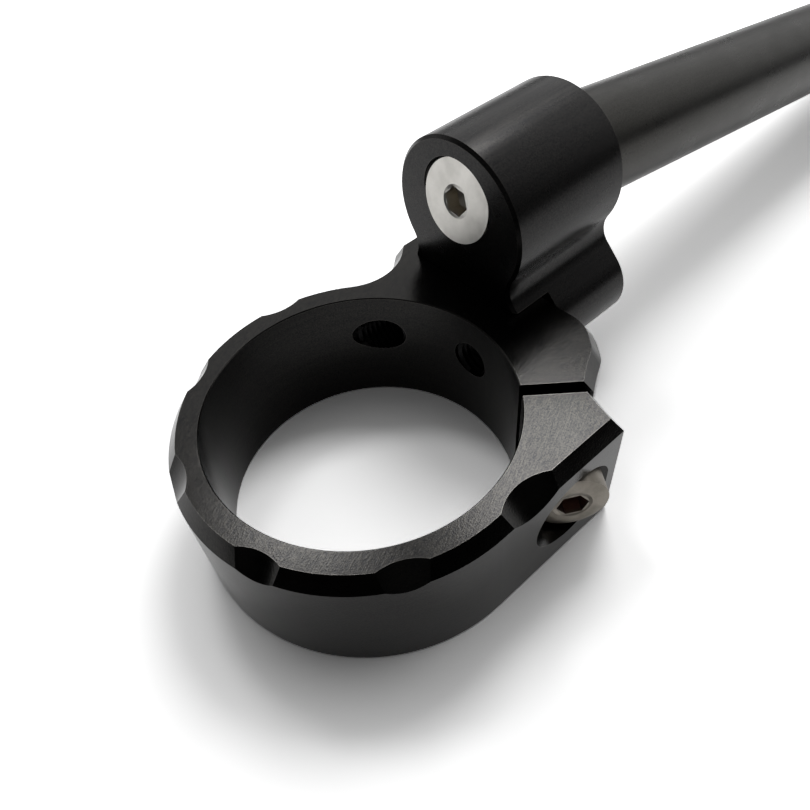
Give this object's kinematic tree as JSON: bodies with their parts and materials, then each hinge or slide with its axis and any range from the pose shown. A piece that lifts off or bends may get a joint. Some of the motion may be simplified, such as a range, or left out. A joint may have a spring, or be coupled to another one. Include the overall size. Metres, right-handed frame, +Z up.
{
  "type": "clip on handlebar",
  "caption": "Clip on handlebar: a split fork clamp ring with a pinch screw, a bolted barrel holder and a drooping tubular bar.",
  "frame": {"origin": "on the fork axis, at half the height of the clamp ring", "axes": "+Z up along the fork tube, +X the way the bar points in plan, +Y to the left of it"},
  "size_m": [0.3075, 0.071, 0.0565],
  "materials": {
    "clamp": "black satin anodised, machined",
    "holder": "black satin anodised, machined",
    "bar": "black satin anodised, drawn tube",
    "insert": "plain turned",
    "bar_screw": "bright satin stainless",
    "pinch_screw": "dull stainless",
    "holder_screws": "satin stainless"
  },
  "bodies": {
    "root": {"clamp_ring": "clamp", "bar_holder": "holder", "bar_tube": "bar", "bar_insert": "insert", "bar_screw": "bar_screw", "pinch_bolt": "pinch_screw", "holder_bolts": "holder_screws"}
  },
  "joints": []
}
